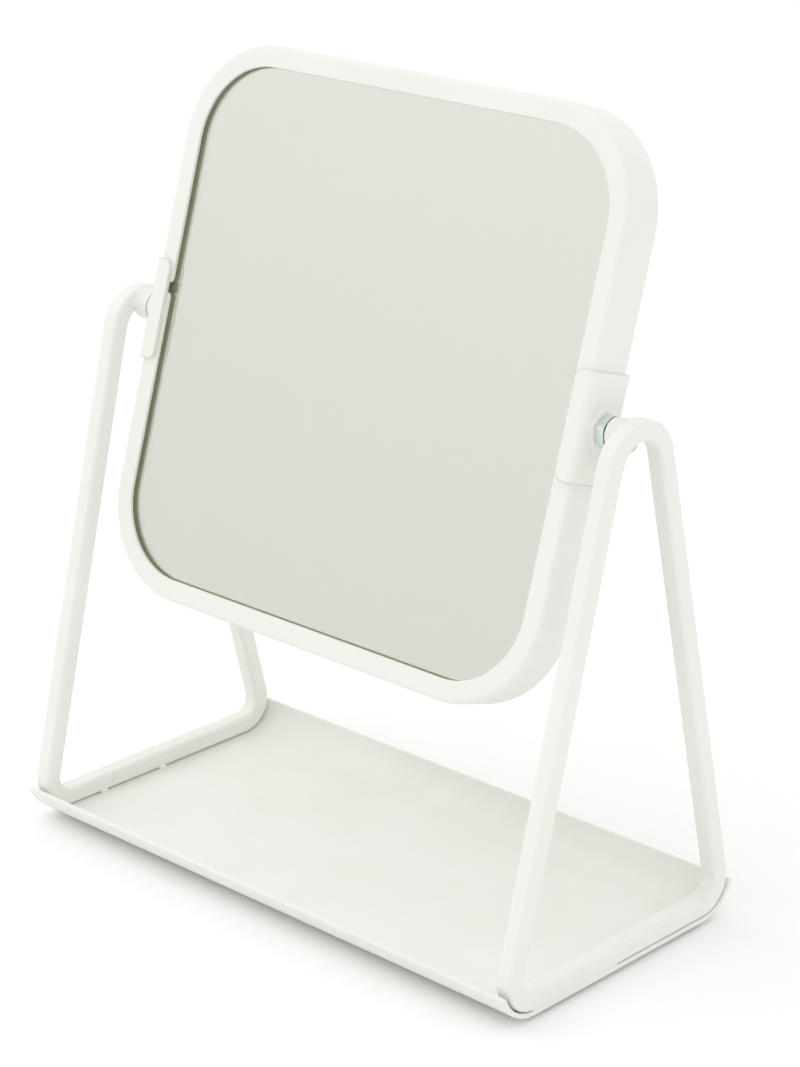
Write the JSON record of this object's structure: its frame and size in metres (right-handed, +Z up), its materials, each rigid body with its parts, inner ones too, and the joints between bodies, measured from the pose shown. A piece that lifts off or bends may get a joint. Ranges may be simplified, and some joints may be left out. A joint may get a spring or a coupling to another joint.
{
  "type": "countertop mirror",
  "caption": "Rounded-square swivelling mirror held between two bent-bar side frames that stand on a shallow curled tray.",
  "frame": {"origin": "on the surface that the mirror stands on, under the middle of the tray", "axes": "+Z up, -Y is the front that a person looks into, +X to the right seen from the front"},
  "size_m": [0.2286, 0.1164, 0.2739],
  "materials": {
    "powder_coat": "semi-gloss white powder coat",
    "pad_rubber": "matt",
    "glass": "polished float glass",
    "silvering": "silvered",
    "board": "hardboard",
    "zinc": "bright zinc plate",
    "washer_fibre": "matt vulcanised fibre"
  },
  "bodies": {
    "stand": {"base_tray": "powder_coat", "left_side_frame": "powder_coat", "right_side_frame": "powder_coat", "left_frame_welds": "powder_coat", "right_frame_welds": "powder_coat", "left_pivot_boss": "powder_coat", "right_pivot_boss": "powder_coat", "front_left_foot_pad": "pad_rubber", "front_right_foot_pad": "pad_rubber", "rear_left_foot_pad": "pad_rubber", "rear_right_foot_pad": "pad_rubber"},
    "mirror": {"mirror_ring": "powder_coat", "front_glass": "glass", "front_silvering": "silvering", "core_board": "board", "back_silvering": "silvering", "back_glass": "glass", "left_bracket": "powder_coat", "right_bracket": "powder_coat", "left_pivot_stud": "powder_coat", "right_pivot_bolt": "zinc", "right_lock_nut": "zinc", "right_friction_washer": "washer_fibre"}
  },
  "joints": [
    {"name": "mirror_tilt", "type": "hinge", "parent": "stand", "child": "mirror", "pos_m": [0, 0, 0.1804], "axis": [1, 0, 0], "continuous": true}
  ]
}
